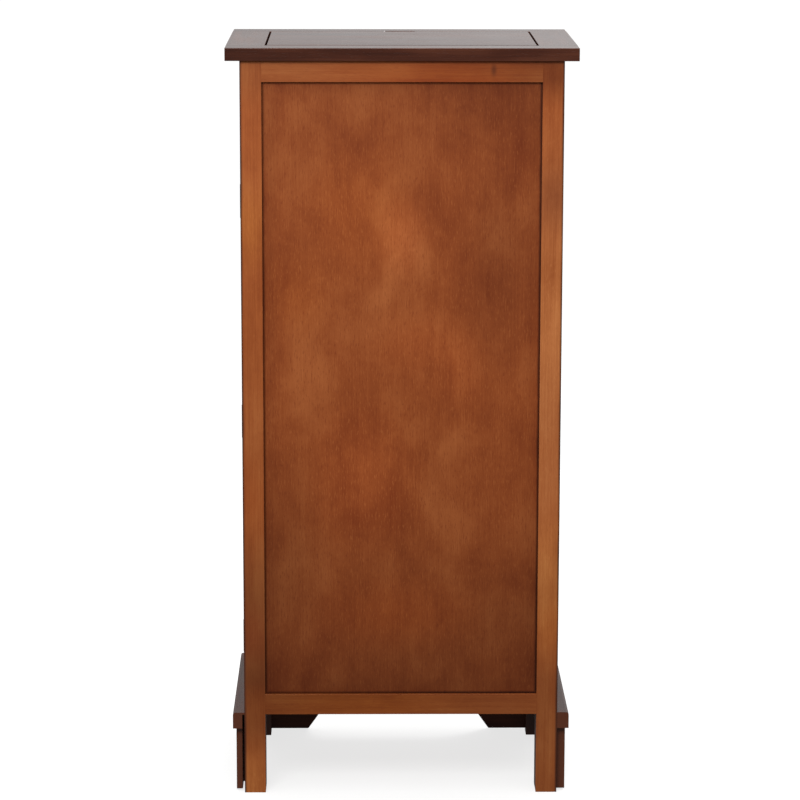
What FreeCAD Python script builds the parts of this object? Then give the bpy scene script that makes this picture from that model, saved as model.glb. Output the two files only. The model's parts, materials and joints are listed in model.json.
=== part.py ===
import FreeCAD, Part
import math
import os
import Sketcher

# Jewelry armoire: a case on four posts with bracket feet, a flip-up lid with a mirror set into
# the top, five drawers and two swing-out side doors with necklace hooks.
# Millimetres. +Z is up, -Y is the front, and the origin is on the floor under the middle of the top.

os.makedirs("parts", exist_ok=True)
doc = FreeCAD.newDocument("jewelry_armoire")
V = FreeCAD.Vector


# ---------------------------------------------------------------- driving dimensions

DIMENSIONS = {
    "overall_height": 1016.0, "top_thick": 17.0, "top_width": 464.0, "top_depth": 320.0,
    "body_width": 426.0, "body_depth": 287.0, "rear_overhang": 6.0,
    "lid_width": 356.0, "lid_depth": 233.0, "lid_side_gap": 3.0, "lid_end_gap": 1.5,
    "notch_width": 44.0, "notch_depth": 9.0,
    "post_width": 28.5, "rear_post_depth": 40.0, "stile_width": 63.0, "front_post_depth": 25.0,
    "rear_rail_height": 28.0, "rear_rail_thick": 12.0, "rear_rail_low": 111.0,
    "panel_thick": 4.0, "panel_recess": 5.0, "groove_depth": 5.0, "panel_play": 0.5,
    "moulding_low": 91.0, "moulding_height": 22.5, "moulding_project": 15.8, "moulding_round": 4.0,
    "skirt_thick": 11.4, "skirt_low": 3.0, "skirt_rear_gap": 8.0, "apron_low": 53.0,
    "front_foot": 93.4, "side_foot": 71.0, "foot_radius": 45.0,
    "slope_run": 8.5, "slope_rise": 12.0, "cut_over": 1.0,
    "relief_width": 3.0, "relief_depth": 40.0, "relief_skin": 3.0,
    "base_rail_high": 127.0, "board_thick": 12.0, "tray_low": 893.0, "wall_thick": 9.0,
    "front_thick": 16.0, "drawer_gap": 1.5, "rail_thick": 10.0, "rail_depth": 22.0,
    "opening_1": 112.0, "opening_2": 126.0, "opening_3": 142.0, "opening_4": 162.0, "opening_5": 184.0,
    "runner_width": 12.0, "box_side": 8.0, "box_play": 4.0, "box_lift": 0.3, "box_back": 120.0,
    "box_headroom": 16.0, "bottom_lift": 6.0, "bottom_thick": 4.0, "lining_thick": 3.0,
    "lining_play": 0.5, "divider_thick": 4.0,
    "tray_wall": 5.0, "tray_wall_high": 75.0, "tray_divider_high": 62.0, "tray_column": 60.0,
    "roll_radius": 10.0, "roll_pitch": 25.0, "roll_play": 1.0,
    "mirror_width": 300.0, "mirror_depth": 168.0, "mirror_thick": 3.0,
    "bead_width": 14.0, "bead_thick": 8.0,
    "pin_radius": 2.0, "pin_length": 20.0, "pin_play": 0.05, "bore_spare": 0.5,
    "door_thick": 16.0, "door_gap": 1.5, "door_hinge_gap": 2.0, "door_front_gap": 1.0,
    "door_stile": 38.0, "door_top_rail": 45.0, "door_bottom_rail": 55.0,
    "door_panel_thick": 6.0, "door_panel_set": 6.0, "door_groove": 6.0,
    "pull_radius": 14.0, "pull_depth": 3.5, "pull_height": 60.0,
    "hinge_length": 45.0, "hinge_leaf": 0.9, "hinge_leaf_width": 10.0, "knuckle_radius": 2.0,
    "hinge_pin_radius": 0.9, "knuckle_relief": 0.3, "hinge_inset": 60.0, "leaf_play": 0.1,
    "leaf_set": 0.2, "tab_lap": 0.5,
    "strip_height": 16.0, "strip_thick": 6.0, "strip_low": 800.0, "strip_length": 126.0,
    "hook_radius": 1.5, "hook_reach": 18.0, "hook_rise": 9.0,
    "magnet_size": 20.0, "magnet_depth": 10.0, "magnet_low": 500.0, "magnet_gap": 0.3,
    "knob_spacing": 150.0, "knob_foot": 6.5, "knob_neck": 3.8, "knob_head": 9.0, "knob_reach": 22.0,
    "knob_foot_thick": 2.0, "knob_flare": 1.0, "knob_crown": 1.5, "knob_rim": 4.0, "knob_neck_top": 2.0,
    "knob_head_rear": 12.1, "stud_radius": 2.0, "stud_length": 10.0,
}
sheet = doc.addObject("Spreadsheet::Sheet", "dims")
for row, (alias, number) in enumerate(DIMENSIONS.items(), start=1):
    sheet.set(f"A{row}", alias)
    sheet.set(f"B{row}", str(number))
    sheet.setAlias(f"B{row}", alias)
doc.recompute()


class Size:
    """A length that carries its number and its formula over the sheet's cells."""

    def __init__(self, number, formula):
        self.number = number
        self.formula = formula

    def __add__(self, other):
        other = as_size(other)
        return Size(self.number + other.number, f"({self.formula} + {other.formula})")

    def __radd__(self, other):
        return as_size(other) + self

    def __neg__(self):
        return Size(-self.number, f"(0 - {self.formula})")

    def __sub__(self, other):
        return self + -as_size(other)

    def __rsub__(self, other):
        return as_size(other) - self

    def __mul__(self, factor):
        return Size(self.number * factor, f"({self.formula} * {factor})")

    __rmul__ = __mul__

    def __truediv__(self, divisor):
        return Size(self.number / divisor, f"({self.formula} / {divisor})")


def as_size(value):
    return value if isinstance(value, Size) else Size(float(value), f"{float(value)}")


D = {alias: Size(float(sheet.get(alias)), f"dims.{alias}") for alias in DIMENSIONS}


# ---------------------------------------------------------------- helpers

def bind(item, prop, size):
    item.setExpression(prop, as_size(size).formula)


def place(item, corner):
    for axis, size in zip("xyz", corner):
        bind(item, f"Placement.Base.{axis}", size)


def named(item, node):
    item.Label = node
    return item


def box(name, x_span, y_span, z_span):
    """A board between two corners."""
    board = doc.addObject("Part::Box", name)
    for side, span in zip(("Length", "Width", "Height"), (x_span, y_span, z_span)):
        bind(board, side, as_size(span[1]) - span[0])
    place(board, (x_span[0], y_span[0], z_span[0]))
    return board


def cylinder(name, start, axis, radius, length):
    """A round bar from a start point along an axis direction."""
    bar = doc.addObject("Part::Cylinder", name)
    bar.Placement = FreeCAD.Placement(V(), FreeCAD.Rotation(V(0, 0, 1), axis))
    bind(bar, "Radius", radius)
    bind(bar, "Height", length)
    place(bar, start)
    return bar


def cut(name, base, tools):
    """The base with every tool taken away."""
    for number, tool in enumerate(tools, start=1):
        taken = doc.addObject("Part::Cut", name if number == len(tools) else f"{name}_cut_{number}")
        taken.Base = base
        taken.Tool = tool
        base = taken
    return base


def fuse(name, pieces):
    joined = doc.addObject("Part::MultiFuse", name)
    joined.Shapes = pieces
    return joined


def group(name, pieces):
    """Several like solids that share one node."""
    together = doc.addObject("Part::Compound", name)
    together.Links = pieces
    return named(together, name)


def mirror(name, source):
    """The same piece on the other side of the middle plane."""
    other = doc.addObject("Part::Mirroring", name)
    other.Source = source
    other.Base = V(0, 0, 0)
    other.Normal = V(1, 0, 0)
    return other


def on_side(side, inner, outer):
    """The x span between two distances from the middle, on the right (+1) or left (-1)."""
    inner = as_size(inner)
    outer = as_size(outer)
    return (inner, outer) if side > 0 else (-outer, -inner)


def sketch_on(body, role, name, offset):
    """A sketch on one of the body's own origin planes, moved along its normal."""
    sketch = body.newObject("Sketcher::SketchObject", name)
    origin_plane = [item for item in body.Origin.OriginFeatures if item.Role == role][0]
    sketch.AttachmentSupport = [(origin_plane, "")]
    sketch.MapMode = "FlatFace"
    bind(sketch, "AttachmentOffset.Base.z", offset)
    return sketch


def draw(sketch, corners, arcs=None):
    """A closed outline through the corners, straight but for the sides listed in arcs.

    arcs holds, for a side's number, its centre, its radius and whether it runs counterclockwise.
    """
    arcs = arcs or {}
    count = len(corners)
    spots = [V(as_size(across).number, as_size(up).number, 0) for across, up in corners]
    ends = []
    for side in range(count):
        first = spots[side]
        last = spots[(side + 1) % count]
        if side not in arcs:
            sketch.addGeometry(Part.LineSegment(first, last), False)
            ends.append((1, 2))
            continue
        centre, radius, forward = arcs[side]
        middle = V(centre[0].number, centre[1].number, 0)
        if not forward:
            first, last = last, first
        first_angle = math.atan2(first.y - middle.y, first.x - middle.x)
        last_angle = math.atan2(last.y - middle.y, last.x - middle.x)
        circle = Part.Circle(middle, V(0, 0, 1), radius.number)
        sketch.addGeometry(Part.ArcOfCircle(circle, first_angle, last_angle), False)
        ends.append((1, 2) if forward else (2, 1))
    for side in range(count):
        following = (side + 1) % count
        sketch.addConstraint(
            Sketcher.Constraint("Coincident", side, ends[side][1], following, ends[following][0]))
    for side, (across, up) in enumerate(corners):
        for kind, size in (("DistanceX", as_size(across)), ("DistanceY", as_size(up))):
            point = ends[side][0]
            index = sketch.addConstraint(
                Sketcher.Constraint(kind, -1, 1, side, point, size.number))
            bind(sketch, f"Constraints[{index}]", size)
    for side, (centre, radius, forward) in arcs.items():
        chord = (spots[(side + 1) % count] - spots[side]).Length
        if chord > 1.99 * radius.number:
            # A half circle's radius is settled by its ends, and its centre's place is not.
            index = sketch.addConstraint(
                Sketcher.Constraint("DistanceX", -1, 1, side, 3, centre[0].number))
            bind(sketch, f"Constraints[{index}]", centre[0])
            continue
        index = sketch.addConstraint(Sketcher.Constraint("Radius", side, radius.number))
        bind(sketch, f"Constraints[{index}]", radius)
    return sketch


def pad(body, sketch, length, name):
    feature = body.newObject("PartDesign::Pad", name)
    feature.Profile = sketch
    bind(feature, "Length", length)
    doc.recompute()
    return feature


def pocket(body, sketch, length, name, backwards=False):
    """A cut along the sketch's normal reversed, or along it when backwards is set."""
    before = body.Shape.Volume
    feature = body.newObject("PartDesign::Pocket", name)
    feature.Profile = sketch
    feature.Reversed = backwards
    bind(feature, "Length", length)
    doc.recompute()
    if not body.Shape.Volume < before - 1.0:
        raise RuntimeError(f"{name} cuts nothing")
    return feature


def new_body(name):
    return named(doc.addObject("PartDesign::Body", name), name)


# ---------------------------------------------------------------- shared levels and planes

half_top = D["top_width"] / 2
half_body = D["body_width"] / 2
rear_edge = D["top_depth"] / 2
rear_face = rear_edge - D["rear_overhang"]
front_face = rear_face - D["body_depth"]
top_low = D["overall_height"] - D["top_thick"]
post_inner = half_body - D["post_width"]
stile_inner = half_body - D["stile_width"]
rear_post_front = rear_face - D["rear_post_depth"]
front_post_rear = front_face + D["front_post_depth"]
rail_front = rear_face - D["rear_rail_thick"]
panel_rear = rear_face - D["panel_recess"]
panel_front = panel_rear - D["panel_thick"]
rear_rail_high = D["rear_rail_low"] + D["rear_rail_height"]
top_rail_low = top_low - D["rear_rail_height"]
floor_high = D["base_rail_high"]
moulding_high = D["moulding_low"] + D["moulding_height"]
sides = {"left": -1, "right": 1}
parts = {}


# ---------------------------------------------------------------- posts

def rear_post(side, name):
    """A square post with a stopped groove for the back panel in its inner face."""
    post = box(f"{name}_blank", on_side(side, post_inner, half_body), (rear_post_front, rear_face),
               (0, top_low))
    groove = box(f"{name}_groove", on_side(side, post_inner, post_inner + D["groove_depth"]),
                 (panel_front, panel_rear),
                 (rear_rail_high - D["groove_depth"], top_rail_low + D["groove_depth"]))
    return [post, groove]


def hinge_reliefs(side, name):
    """Round mortises along the corner for the hinge barrels."""
    radius = D["knuckle_radius"] + D["knuckle_relief"]
    spare = D["knuckle_relief"]
    reliefs = []
    for number, low in enumerate(hinge_lows, start=1):
        start = (side * half_body, hinge_y, low - spare)
        reliefs.append(cylinder(f"{name}_relief_{number}", start, V(0, 0, 1), radius,
                                D["hinge_length"] + 2 * spare))
    return reliefs


door_low = floor_high + D["door_gap"]
door_high = D["tray_low"] - D["door_gap"]
door_rear = rear_post_front - D["door_hinge_gap"]
door_front = front_post_rear + D["door_front_gap"]
hinge_y = rear_post_front - D["door_hinge_gap"] / 2
hinge_lows = [door_low + D["hinge_inset"], (door_low + door_high - D["hinge_length"]) / 2,
              door_high - D["hinge_length"] - D["hinge_inset"]]

for word, side in sides.items():
    name = f"rear_post_{word}"
    post, groove = rear_post(side, name)
    parts[name] = named(cut(name, post, [groove] + hinge_reliefs(side, name)), name)

# A front post is a wide stile that narrows to a leg behind the bracket foot.
front_post_right = new_body("front_post_right")
stile_outline = [(post_inner, 0), (half_body, 0), (half_body, top_low), (stile_inner, top_low),
                 (stile_inner, D["moulding_low"]), (post_inner, D["moulding_low"])]
stile_sketch = sketch_on(front_post_right, "XZ_Plane", "front_post_outline", -front_post_rear)
pad(front_post_right, draw(stile_sketch, stile_outline), D["front_post_depth"], "front_post_pad")
parts["front_post_right"] = front_post_right
parts["front_post_left"] = named(mirror("front_post_left", front_post_right), "front_post_left")


# ---------------------------------------------------------------- back

def rear_rail(name, low, groove_span):
    """A rail between the rear posts, grooved for the panel along one edge."""
    rail = box(f"{name}_blank", (-post_inner, post_inner), (rail_front, rear_face),
               (low, low + D["rear_rail_height"]))
    groove = box(f"{name}_groove", (-post_inner, post_inner), (panel_front, panel_rear), groove_span)
    return cut(name, rail, [groove])


parts["rear_rails"] = group("rear_rails", [
    rear_rail("rear_bottom_rail", D["rear_rail_low"], (rear_rail_high - D["groove_depth"], rear_rail_high)),
    rear_rail("rear_top_rail", top_rail_low, (top_rail_low, top_rail_low + D["groove_depth"]))])

panel_reach = D["groove_depth"] - D["panel_play"]
panel_half = post_inner + panel_reach
parts["back_panel"] = named(
    box("back_panel", (-panel_half, panel_half), (panel_front, panel_rear),
        (rear_rail_high - panel_reach, top_rail_low + panel_reach)), "back_panel")


# ---------------------------------------------------------------- case boards

inner_depth = (front_post_rear, rail_front)
parts["case_floor"] = named(
    box("case_floor", (-post_inner, post_inner), inner_depth, (floor_high - D["board_thick"], floor_high)),
    "case_floor")
parts["tray_floor"] = named(
    box("tray_floor", (-post_inner, post_inner), inner_depth,
        (D["tray_low"], D["tray_low"] + D["board_thick"])), "tray_floor")


def side_pair(name, inner, outer, y_span, z_span):
    """Two like boards, one on each side, in one node."""
    return group(name, [box(f"{name}_{word}", on_side(side, inner, outer), y_span, z_span)
                        for word, side in sides.items()])


between_posts = (front_post_rear, rear_post_front)
parts["side_bottom_rails"] = side_pair("side_bottom_rails", post_inner, half_body, between_posts,
                                       (D["moulding_low"], floor_high))
parts["tray_sides"] = side_pair("tray_sides", post_inner, half_body, between_posts,
                                (D["tray_low"], top_low))
parts["bay_walls"] = side_pair("bay_walls", stile_inner, stile_inner + D["wall_thick"], inner_depth,
                               (floor_high, D["tray_low"]))
parts["front_bottom_rail"] = named(
    box("front_bottom_rail", (-stile_inner, stile_inner), (front_face, front_post_rear),
        (D["moulding_low"], floor_high)), "front_bottom_rail")

# Levels of the five drawer openings, counted from the top down.
openings = [D[f"opening_{number}"] for number in range(1, 6)]
levels = []
ceiling = D["tray_low"]
for opening in openings:
    levels.append(ceiling - opening)
    ceiling = levels[-1] - D["rail_thick"]

parts["drawer_rails"] = group("drawer_rails", [
    box(f"drawer_rail_{number}", (-stile_inner, stile_inner), (front_face, front_face + D["rail_depth"]),
        (level - D["rail_thick"], level))
    for number, level in enumerate(levels[:-1], start=1)])
parts["drawer_runners"] = group("drawer_runners", [
    box(f"drawer_runner_{number}_{word}", on_side(side, stile_inner - D["runner_width"], stile_inner),
        (front_face + D["rail_depth"], rail_front), (level - D["rail_thick"], level))
    for number, level in enumerate(levels[:-1], start=1) for word, side in sides.items()])


# ---------------------------------------------------------------- knobs

def knob(name, across, height):
    """A turned knob with a threaded stud, its axis along -Y."""
    body = new_body(name)
    sketch = sketch_on(body, "YZ_Plane", f"{name}_outline", across)
    reach = front_face - D["knob_reach"]
    head_rear = front_face - D["knob_head_rear"]
    foot_front = front_face - D["knob_foot_thick"]
    corners = [(front_face + D["stud_length"], height), (reach, height),
               (reach + D["knob_crown"], height + D["knob_head"] * 0.6),
               (reach + D["knob_rim"], height + D["knob_head"]),
               (head_rear, height + D["knob_head"] * 0.9),
               (head_rear + D["knob_neck_top"], height + D["knob_neck"]),
               (foot_front - D["knob_flare"], height + D["knob_neck"]),
               (foot_front, height + D["knob_foot"]), (front_face, height + D["knob_foot"]),
               (front_face, height + D["stud_radius"]),
               (front_face + D["stud_length"], height + D["stud_radius"])]
    draw(sketch, corners)
    turned = body.newObject("PartDesign::Revolution", f"{name}_turning")
    turned.Profile = sketch
    turned.ReferenceAxis = (sketch, ["Edge1"])
    turned.Angle = 360.0
    return body


def knob_pair(name, height):
    right = knob(f"{name}_right", D["knob_spacing"] / 2, height)
    return group(name, [right, mirror(f"{name}_left", right)])


def stud_holes(name, height):
    """Blind holes for the two knob studs."""
    start = front_face - D["cut_over"]
    depth = D["cut_over"] + D["stud_length"] + D["bore_spare"]
    return [cylinder(f"{name}_hole_{word}", (side * D["knob_spacing"] / 2, start, height),
                     V(0, 1, 0), D["stud_radius"] + D["pin_play"], depth)
            for word, side in sides.items()]


tray_knob_height = (D["tray_low"] + top_low) / 2
tray_board = box("tray_front_blank", (-stile_inner, stile_inner), (front_face, front_post_rear),
                 (D["tray_low"], top_low))
parts["tray_front"] = named(
    cut("tray_front", tray_board, stud_holes("tray_front", tray_knob_height)), "tray_front")
parts["tray_knobs"] = knob_pair("tray_knobs", tray_knob_height)


# ---------------------------------------------------------------- drawers

def drawer(number, level, opening):
    name = f"drawer_{number}"
    front_rear = front_face + D["front_thick"]
    front_low = level + D["drawer_gap"]
    front_high = level + opening - D["drawer_gap"]
    middle = level + opening / 2
    half_front = stile_inner - D["drawer_gap"]
    blank = box(f"{name}_front_blank", (-half_front, half_front), (front_face, front_rear),
                (front_low, front_high))
    parts[f"{name}_front"] = named(
        cut(f"{name}_front", blank, stud_holes(name, middle)), f"{name}_front")
    parts[f"{name}_knobs"] = knob_pair(f"{name}_knobs", middle)

    box_low = level + D["box_lift"]
    box_high = level + opening - D["box_headroom"]
    outer = stile_inner - D["box_play"]
    inner = outer - D["box_side"]
    back_front = D["box_back"] - D["box_side"]
    bottom_low = level + D["bottom_lift"]
    bottom_high = bottom_low + D["bottom_thick"]
    boards = [box(f"{name}_side_{word}", on_side(side, inner, outer), (front_rear, D["box_back"]),
                  (box_low, box_high)) for word, side in sides.items()]
    boards.append(box(f"{name}_back", (-inner, inner), (back_front, D["box_back"]), (box_low, box_high)))
    boards.append(box(f"{name}_bottom", (-inner, inner), (front_rear, back_front),
                      (bottom_low, bottom_high)))
    parts[f"{name}_box"] = group(f"{name}_box", boards)

    half_pad = inner - D["lining_play"]
    pad_depth = (front_rear + D["lining_play"], back_front - D["lining_play"])
    pad_high = bottom_high + D["lining_thick"]
    lining = [box(f"{name}_pad", (-half_pad, half_pad), pad_depth, (bottom_high, pad_high))]
    if number == 1:
        half_divider = D["divider_thick"] / 2
        for word, side in sides.items():
            column = side * half_pad / 3
            lining.append(box(f"{name}_divider_{word}", (column - half_divider, column + half_divider),
                              pad_depth, (pad_high, box_high - 10.0)))
    parts[f"{name}_lining"] = group(f"{name}_lining", lining)


for number, (level, opening) in enumerate(zip(levels, openings), start=1):
    drawer(number, level, opening)


# ---------------------------------------------------------------- lined tray under the lid

tray_base = D["tray_low"] + D["board_thick"]
tray_half = post_inner - D["lining_play"]
tray_front_y = front_post_rear + D["lining_play"]
tray_rear_y = rail_front - D["lining_play"]
pad_top = tray_base + D["lining_thick"]
wall_top = tray_base + D["tray_wall_high"]
divider_top = tray_base + D["tray_divider_high"]
cell_half = tray_half - D["tray_wall"]
cell_front = tray_front_y + D["tray_wall"]
cell_rear = tray_rear_y - D["tray_wall"]
half_divider = D["divider_thick"] / 2
column = D["tray_column"]
cross_y = (cell_front + cell_rear) / 2
tray_pieces = [
    box("tray_pad", (-tray_half, tray_half), (tray_front_y, tray_rear_y), (tray_base, pad_top)),
    box("tray_wall_front", (-cell_half, cell_half), (tray_front_y, cell_front), (pad_top, wall_top)),
    box("tray_wall_rear", (-cell_half, cell_half), (cell_rear, tray_rear_y), (pad_top, wall_top)),
    box("tray_cross_middle", (-column + half_divider, column - half_divider),
        (cross_y - half_divider, cross_y + half_divider), (pad_top, divider_top)),
    box("tray_cross_right", (column + half_divider, cell_half),
        (cross_y - half_divider, cross_y + half_divider), (pad_top, divider_top))]
for word, side in sides.items():
    tray_pieces.append(box(f"tray_wall_{word}", on_side(side, cell_half, tray_half),
                           (tray_front_y, tray_rear_y), (pad_top, wall_top)))
    middle = side * column
    tray_pieces.append(box(f"tray_divider_{word}", (middle - half_divider, middle + half_divider),
                           (cell_front, cell_rear), (pad_top, divider_top)))
parts["tray_lining"] = group("tray_lining", tray_pieces)

ROLLS = 9
roll_left = -cell_half + D["roll_play"]
roll_length = cell_half - column - half_divider - 2 * D["roll_play"]
rolls = []
for number in range(ROLLS):
    roll_y = cell_front + D["roll_pitch"] * (number + 0.75)
    rolls.append(cylinder(f"ring_roll_{number + 1}", (roll_left, roll_y, pad_top + D["roll_radius"]),
                          V(1, 0, 0), D["roll_radius"], roll_length))
parts["ring_rolls"] = group("ring_rolls", rolls)


# ---------------------------------------------------------------- top, lid and mirror

half_lid = D["lid_width"] / 2
half_lid_depth = D["lid_depth"] / 2
hole_half = half_lid + D["lid_side_gap"]
hole_depth = half_lid_depth + D["lid_end_gap"]
top_span = (top_low, D["overall_height"])
pivot_radius = D["top_thick"] / 2
pivot_y = half_lid_depth - pivot_radius
pivot_z = top_low + pivot_radius

parts["top_rear_board"] = named(
    box("top_rear_board", (-half_top, half_top), (hole_depth, rear_edge), top_span), "top_rear_board")

# The front board has a round-ended finger notch in its rear edge, at the front of the lid.
top_front_board = new_body("top_front_board")
board_sketch = sketch_on(top_front_board, "XY_Plane", "top_front_outline", top_low)
half_notch = D["notch_width"] / 2
notch_front = -hole_depth - D["notch_depth"]
radius = D["notch_depth"]
board_outline = [(-half_top, -rear_edge), (half_top, -rear_edge), (half_top, -hole_depth),
                 (half_notch, -hole_depth), (half_notch - radius, notch_front),
                 (-half_notch + radius, notch_front), (-half_notch, -hole_depth),
                 (-half_top, -hole_depth)]
notch_arcs = {3: ((half_notch - radius, -hole_depth), radius, False),
              5: ((-half_notch + radius, -hole_depth), radius, False)}
pad(top_front_board, draw(board_sketch, board_outline, notch_arcs), D["top_thick"], "top_front_pad")
parts["top_front_board"] = top_front_board

pin_reach = D["pin_length"] / 2
pin_bore = D["pin_radius"] + D["pin_play"]
end_boards = []
pins = []
for word, side in sides.items():
    board = box(f"top_end_{word}_blank", on_side(side, hole_half, half_top), (-hole_depth, hole_depth),
                top_span)
    pin_middle = side * (half_lid + D["lid_side_gap"] / 2)
    socket = cylinder(f"top_end_{word}_socket", (pin_middle, pivot_y, pivot_z), V(side, 0, 0), pin_bore,
                      pin_reach + D["bore_spare"])
    end_boards.append(cut(f"top_end_{word}", board, [socket]))
    pins.append(cylinder(f"lid_pin_{word}", (pin_middle - side * pin_reach, pivot_y, pivot_z),
                         V(side, 0, 0), D["pin_radius"], D["pin_length"]))
parts["top_ends"] = group("top_ends", end_boards)
parts["lid_pivot_pins"] = group("lid_pivot_pins", pins)

# The lid's rear edge is rounded about the pins, so that it turns inside its own gap.
lid_panel = new_body("lid_panel")
lid_sketch = sketch_on(lid_panel, "YZ_Plane", "lid_outline", -half_lid)
lid_outline = [(-half_lid_depth, top_low), (pivot_y, top_low), (pivot_y, D["overall_height"]),
               (-half_lid_depth, D["overall_height"])]
lid_arcs = {1: ((pivot_y, pivot_z), pivot_radius, True)}
pad(lid_panel, draw(lid_sketch, lid_outline, lid_arcs), D["lid_width"], "lid_pad")
bore_depth = pin_reach - D["lid_side_gap"] / 2 + D["bore_spare"]
for word, offset, backwards in (("left", -half_lid, True), ("right", half_lid, False)):
    bore_sketch = sketch_on(lid_panel, "YZ_Plane", f"lid_bore_{word}", offset)
    bore_sketch.addGeometry(Part.Circle(V(pivot_y.number, pivot_z.number, 0), V(0, 0, 1),
                                        pin_bore.number), False)
    for kind, size in (("DistanceX", pivot_y), ("DistanceY", pivot_z)):
        index = bore_sketch.addConstraint(Sketcher.Constraint(kind, -1, 1, 0, 3, size.number))
        bind(bore_sketch, f"Constraints[{index}]", size)
    index = bore_sketch.addConstraint(Sketcher.Constraint("Radius", 0, pin_bore.number))
    bind(bore_sketch, f"Constraints[{index}]", pin_bore)
    pocket(lid_panel, bore_sketch, bore_depth, f"lid_pin_bore_{word}", backwards)
parts["lid_panel"] = lid_panel

half_mirror = D["mirror_width"] / 2
half_mirror_depth = D["mirror_depth"] / 2
parts["lid_mirror"] = named(
    box("lid_mirror", (-half_mirror, half_mirror), (-half_mirror_depth, half_mirror_depth),
        (top_low - D["mirror_thick"], top_low)), "lid_mirror")
bead_half = half_mirror + D["bead_width"]
bead_depth = half_mirror_depth + D["bead_width"]
bead_span = (top_low - D["bead_thick"], top_low)
beads = [box("mirror_bead_front", (-bead_half, bead_half), (-bead_depth, -half_mirror_depth), bead_span),
         box("mirror_bead_rear", (-bead_half, bead_half), (half_mirror_depth, bead_depth), bead_span)]
for word, side in sides.items():
    beads.append(box(f"mirror_bead_{word}", on_side(side, half_mirror, bead_half),
                     (-half_mirror_depth, half_mirror_depth), bead_span))
parts["lid_mirror_frame"] = group("lid_mirror_frame", beads)


# ---------------------------------------------------------------- base moulding and bracket feet

moulding_out = D["moulding_project"]
rounding = D["moulding_round"]


def moulding_outline(face, out):
    """A band with its top outer edge rounded; out is the signed projection from the face."""
    sign = 1 if out.number > 0 else -1
    corners = [(face, D["moulding_low"]), (face + out, D["moulding_low"]),
               (face + out, moulding_high - rounding), (face + out - sign * rounding, moulding_high),
               (face, moulding_high)]
    arcs = {2: ((face + out - sign * rounding, moulding_high - rounding), rounding, sign > 0)}
    return corners, arcs


front_moulding = new_body("moulding_front")
half_moulding = half_body + moulding_out
front_corners, front_arcs = moulding_outline(front_face, -moulding_out)
front_sketch = sketch_on(front_moulding, "YZ_Plane", "moulding_front_profile", -half_moulding)
pad(front_moulding, draw(front_sketch, front_corners, front_arcs), 2 * half_moulding, "moulding_front_pad")
for word, side in sides.items():
    mitre = sketch_on(front_moulding, "XY_Plane", f"moulding_front_mitre_{word}",
                      moulding_high + D["cut_over"])
    beyond = moulding_out + D["cut_over"]
    draw(mitre, [(side * half_body, front_face), (side * (half_body + beyond), front_face - beyond),
                 (side * (half_body + beyond), front_face)])
    pocket(front_moulding, mitre, D["moulding_height"] + 2 * D["cut_over"],
           f"moulding_front_mitre_cut_{word}")
parts["moulding_front"] = front_moulding

side_moulding = new_body("moulding_side")
side_corners, side_arcs = moulding_outline(half_body, moulding_out)
side_sketch = sketch_on(side_moulding, "XZ_Plane", "moulding_side_profile", -rear_face)
pad(side_moulding, draw(side_sketch, side_corners, side_arcs), D["body_depth"] + moulding_out,
    "moulding_side_pad")
mitre = sketch_on(side_moulding, "XY_Plane", "moulding_side_mitre", moulding_high + D["cut_over"])
beyond = moulding_out + D["cut_over"]
draw(mitre, [(half_body, front_face), (half_body, front_face - beyond),
             (half_body + beyond, front_face - beyond)])
pocket(side_moulding, mitre, D["moulding_height"] + 2 * D["cut_over"], "moulding_side_mitre_cut")

# The right side's band and foot stand off the rear post: a narrow slot that shows from behind.
standing_off = box("standing_off", (half_body, half_body + D["relief_width"]),
                   (rear_face - D["relief_depth"], rear_face + D["cut_over"]),
                   (0, moulding_high - D["relief_skin"]))
parts["side_mouldings"] = group("side_mouldings", [
    cut("moulding_right", side_moulding, [standing_off]), mirror("moulding_left", side_moulding)])

# Each skirt board is sawn to a bracket foot at both ends: a slope, an arc and a level apron.
slope_length = math.hypot(D["slope_run"].number, D["slope_rise"].number)
slope_tangent = D["slope_run"].number / D["slope_rise"].number
arc_run = D["foot_radius"] * (D["slope_rise"].number / slope_length)
arc_rise = D["foot_radius"] * (1 - D["slope_run"].number / slope_length)
slope_rise = D["apron_low"] - D["skirt_low"] - arc_rise
slope_run = slope_rise * slope_tangent


def skirt_outline(start, end, start_foot, end_foot):
    low = D["skirt_low"]
    first = start + start_foot
    second = end - end_foot
    arc_low = low + slope_rise
    corners = [(start, low), (first, low), (first + slope_run, arc_low),
               (first + slope_run + arc_run, D["apron_low"]),
               (second - slope_run - arc_run, D["apron_low"]), (second - slope_run, arc_low),
               (second, low), (end, low), (end, D["moulding_low"]), (start, D["moulding_low"])]
    centre_up = D["apron_low"] - D["foot_radius"]
    arcs = {2: ((first + slope_run + arc_run, centre_up), D["foot_radius"], False),
            4: ((second - slope_run - arc_run, centre_up), D["foot_radius"], False)}
    return corners, arcs


skirt_out = D["skirt_thick"]
half_skirt = half_body + skirt_out
skirt_height = D["moulding_low"] + 2 * D["cut_over"]
front_skirt = new_body("skirt_front")
corners, arcs = skirt_outline(-half_skirt, half_skirt, D["front_foot"], D["front_foot"])
skirt_sketch = sketch_on(front_skirt, "XZ_Plane", "skirt_front_outline", -front_face)
pad(front_skirt, draw(skirt_sketch, corners, arcs), skirt_out, "skirt_front_pad")
for word, side in sides.items():
    mitre = sketch_on(front_skirt, "XY_Plane", f"skirt_front_mitre_{word}",
                      D["moulding_low"] + D["cut_over"])
    beyond = skirt_out + D["cut_over"]
    draw(mitre, [(side * half_body, front_face), (side * (half_body + beyond), front_face - beyond),
                 (side * (half_body + beyond), front_face)])
    pocket(front_skirt, mitre, skirt_height, f"skirt_front_mitre_cut_{word}")
parts["skirt_front"] = front_skirt

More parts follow.
